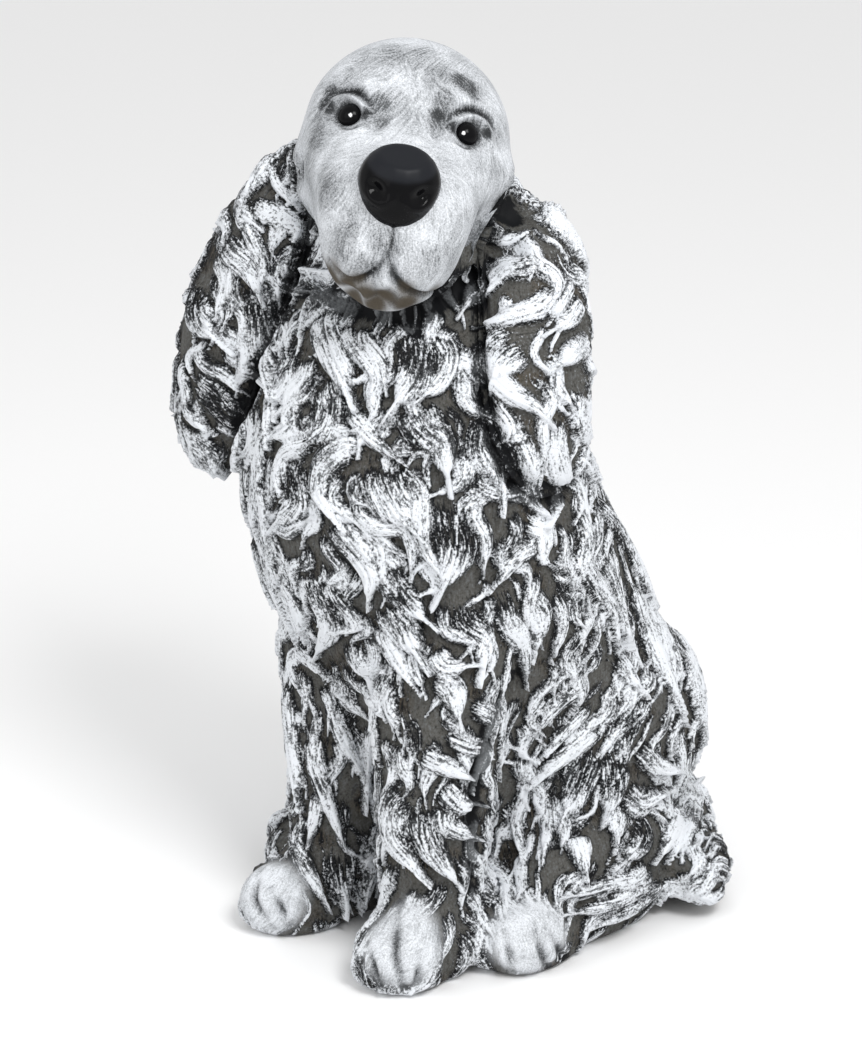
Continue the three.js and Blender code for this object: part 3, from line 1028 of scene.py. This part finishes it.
def black_glaze():
    """Glossy black, worn to a low gloss and painted lighter as a sheen on top of the nose, with a painted
    highlight, a white dot, on each eye.
    """
    material = bpy.data.materials.new("black_glaze")
    material.use_nodes = True
    make = node_maker(material)
    tone = make("Attribute", attribute_name="tone")["Fac"]
    satin_and_sheen = make("MapRange", {"Value": tone, "From Min": 0.0, "From Max": SATIN_SHEEN_TONE})["Result"]
    white = make("MapRange", {"Value": tone, "From Min": 0.4, "From Max": 1.0})["Result"]
    # The nose's top is painted lighter as a sheen, and each eye carries a painted highlight dot.
    base = make("Mix", {"Factor": satin_and_sheen, 6: GLAZE, 7: NOSE_TOP_SHEEN}, data_type="RGBA")[2]
    colour = make("Mix", {"Factor": white, 6: base, 7: DOT}, data_type="RGBA")[2]
    rough = make("MapRange", {"Value": satin_and_sheen, "To Min": 0.14, "To Max": 0.38})["Result"]
    shader = material.node_tree.nodes["Principled BSDF"]
    material.node_tree.links.new(colour, shader.inputs["Base Color"])
    material.node_tree.links.new(rough, shader.inputs["Roughness"])
    shader.inputs["Specular IOR Level"].default_value = 0.09
    return material


SHARP_BELOW = 0.02  # joints' walls, where less of the carving than this shows, are shaded flat
LAYERS = {"share": share, "wash_and_shade": wash_and_shade, "jaw_shade": jaw_shade, "smooth_skin": 1 - furry, "grain": grain}

washed, black = washed_ceramic(), black_glaze()
for index, name in enumerate(CASTINGS):
    rows = slice(starts[index], starts[index + 1])
    quads = skins[index][1]
    piece = new_piece("carved_" + name, final[rows], quads)
    mesh = piece.data
    mesh.polygons.foreach_set("use_smooth", (exposed[rows] > SHARP_BELOW)[quads].any(1))
    for key, values in LAYERS.items():
        keep(mesh, key, values[rows])
    mesh.materials.append(washed)
    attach(piece, "root")
    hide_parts(name)

# ---- Nose and eyes ------------------------------------------------------------------------------------

GLAZED_VOXEL = 0.5
GLAZED_MARGIN = 3  # the grid reaches this far past a glazed part's box
GLAZED_BLUR = 2.0  # in voxels
NOSE_TILT = 0.75  # the nose's flat top faces this far ahead for each 1 up
NOSE_TOP = 12.4  # its distance from the nose's middle
NOSTRIL = (9.5, -3.0)  # the left nostril, left and up of the nose's middle
NOSTRIL_RADIUS = 4.0
NOSTRIL_DEPTH = 3.2
GLINT = 0.75  # the radius of the painted highlight, a white dot on each eye
GLINT_SPOT = (-0.6, 1.2)  # left and up of the eye's middle


def glazed_skin(name):
    """A glazed part's own surface, rounded off at its facets, with its flat top plane if it is the nose."""
    low, high = (np.array(corner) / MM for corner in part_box(name))
    first = np.floor((low - GLAZED_MARGIN) / GLAZED_VOXEL).astype(int)
    shape = tuple(np.ceil((high + GLAZED_MARGIN) / GLAZED_VOXEL).astype(int) - first)
    points, triangles = node_faces(name)
    field = to_array(distance_grid(points, GLAZED_VOXEL, triangles=triangles), first, shape)
    if name == "nose":
        places = (np.indices(shape).reshape(3, -1).T + first) * GLAZED_VOXEL - middle("nose")
        flat = unit(FACE_UP + NOSE_TILT * FACE_OUT)
        field = np.maximum(field, (places @ flat - NOSE_TOP).reshape(shape))
    points, quads = to_quads(blurred(field, GLAZED_BLUR), GLAZED_VOXEL, first)
    return points.astype(float), quads


def pinch_nose(points):
    """Draws the nose down to its point, and presses the nostrils into its front."""
    left, ahead, up = ((points - middle("nose")) @ FACE.T).T
    below = ramp(2, -16, up)
    points = points - np.outer(3.5 * below, FACE_UP) - np.outer(0.08 * left * below, FACE_LEFT)
    for side in (-1, 1):
        across, above = side * left - NOSTRIL[0], up - NOSTRIL[1]
        gap = np.hypot(across / 1.3, above - 0.25 * across)
        slit = ramp(NOSTRIL_RADIUS, 0.0, gap) * (ahead > 0)
        rim = np.exp(-(((gap - 4.8) / 1.3) ** 2)) * ramp(0, -4, above) * (ahead > 0)
        points = points + np.outer(1.1 * rim - NOSTRIL_DEPTH * slit, FACE_OUT)
    return points


def glaze_tone(name, points):
    """How the glaze is toned at each point: worn to a low gloss and painted lighter as a sheen on the nose's
    top, and 1 on an eye's painted highlight dot.
    """
    left, ahead, up = ((points - middle(name)) @ FACE.T).T
    if name == "nose":
        return ramp(7.5, 9.5, (up + NOSE_TILT * ahead) / math.hypot(1, NOSE_TILT)) * SATIN_SHEEN_TONE
    gap = np.hypot(left - GLINT_SPOT[0], up - GLINT_SPOT[1])
    return ramp(GLINT + 0.3, GLINT, gap) * (ahead > 0)


for name in GLAZED:
    points, quads = glazed_skin(name)
    tone = glaze_tone(name, points)
    if name == "nose":
        points = pinch_nose(points)
    piece = new_piece("glazed_" + name, points, quads)
    piece.data.polygons.foreach_set("use_smooth", np.ones(len(quads), bool))
    keep(piece.data, "tone", tone)
    piece.data.materials.append(black)
    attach(piece, "root")
    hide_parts(name)

# ---- The stage ----------------------------------------------------------------------------------------

VIEW_LENS = 105
FLOOR_HALF = 30  # metres, so that its edge never shows
FLOOR_WHITE = (0.95, 0.95, 0.95, 1)
WORLD_WHITE = (1, 1, 1, 1)
WORLD_STRENGTH = 0.80


def place_at(thing, azimuth, elevation, distance):
    """Links a camera or lamp and points it at the view's target."""
    way = away(math.radians(azimuth), math.radians(elevation))
    thing.location = Vector(VIEW_TARGET + way * distance) * MM
    thing.rotation_euler = Vector(-way).to_track_quat("-Z", "Y").to_euler()
    bpy.context.scene.collection.objects.link(thing)


def white_world():
    world = bpy.data.worlds.new("studio")
    world.use_nodes = True
    background = world.node_tree.nodes["Background"]
    background.inputs["Color"].default_value = WORLD_WHITE
    background.inputs["Strength"].default_value = WORLD_STRENGTH
    return world


def soft_light(name, azimuth, elevation, distance, width, watts):
    light = bpy.data.lights.new(name, "AREA")
    light.size = width * MM
    light.energy = watts
    place_at(bpy.data.objects.new(name, light), azimuth, elevation, distance)


def pale_floor():
    mesh = bpy.data.meshes.new("floor")
    corners = [(x * FLOOR_HALF, y * FLOOR_HALF, 0) for x, y in ((-1, -1), (1, -1), (1, 1), (-1, 1))]
    mesh.from_pydata(corners, [], [(0, 1, 2, 3)])
    material = bpy.data.materials.new("pale_floor")
    material.use_nodes = True
    shader = material.node_tree.nodes["Principled BSDF"]
    shader.inputs["Base Color"].default_value = FLOOR_WHITE
    shader.inputs["Roughness"].default_value = 0.9
    mesh.materials.append(material)
    floor = bpy.data.objects.new("floor", mesh)
    bpy.context.scene.collection.objects.link(floor)


camera = bpy.data.objects.new("camera", bpy.data.cameras.new("camera"))
camera.data.lens = VIEW_LENS
place_at(camera, math.degrees(VIEW_AZIMUTH), math.degrees(VIEW_ELEVATION), VIEW_DISTANCE)
soft_light("key", 68, 48, 1500, 500, 13)
soft_light("fill", 0, 30, 1700, 1200, 4)
pale_floor()

scene = bpy.context.scene
scene.camera = camera
scene.view_settings.view_transform = "Standard"
scene.world = white_world()
